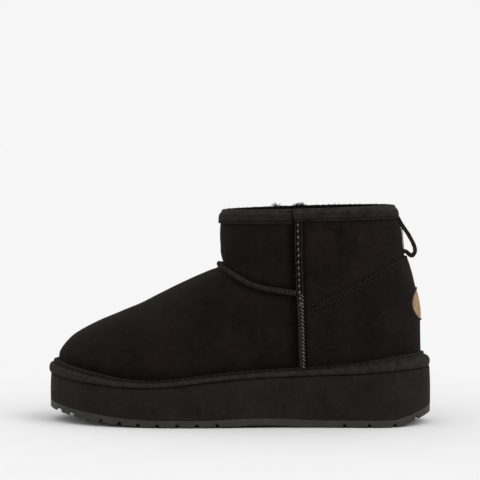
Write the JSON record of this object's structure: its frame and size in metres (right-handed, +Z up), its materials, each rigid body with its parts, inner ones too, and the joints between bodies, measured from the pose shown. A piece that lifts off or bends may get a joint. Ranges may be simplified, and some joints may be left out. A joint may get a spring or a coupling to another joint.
{
  "type": "sheepskin ankle boot",
  "caption": "Left suede sheepskin ankle boot with a wrapped platform sole, raised side and instep seams, bound collar, heel pull loop and bare leather heel patch.",
  "frame": {"origin": "on the floor, under the middle of the boot's bounding box", "axes": "+X from toe to heel, +Y from the outer side to the inner side, +Z up"},
  "size_m": [0.271, 0.1024, 0.153],
  "materials": {
    "rubber": "matte moulded rubber",
    "platform_suede": "black microsuede wrap",
    "trim_suede": "charcoal black suede tape",
    "fleece": "black sheepskin fleece",
    "upper_suede": "warm black suede with a fine nap",
    "patch_leather": "smooth tan leather"
  },
  "bodies": {
    "root": {"outsole": "rubber", "midsole": "platform_suede", "welt_band": "trim_suede", "insole": "fleece", "upper": "upper_suede", "collar_binding": "trim_suede", "side_seam_outer": "trim_suede", "side_seam_inner": "trim_suede", "instep_seam": "upper_suede", "heel_counter": "upper_suede", "heel_patch": "patch_leather", "pull_loop": "trim_suede"}
  },
  "joints": []
}
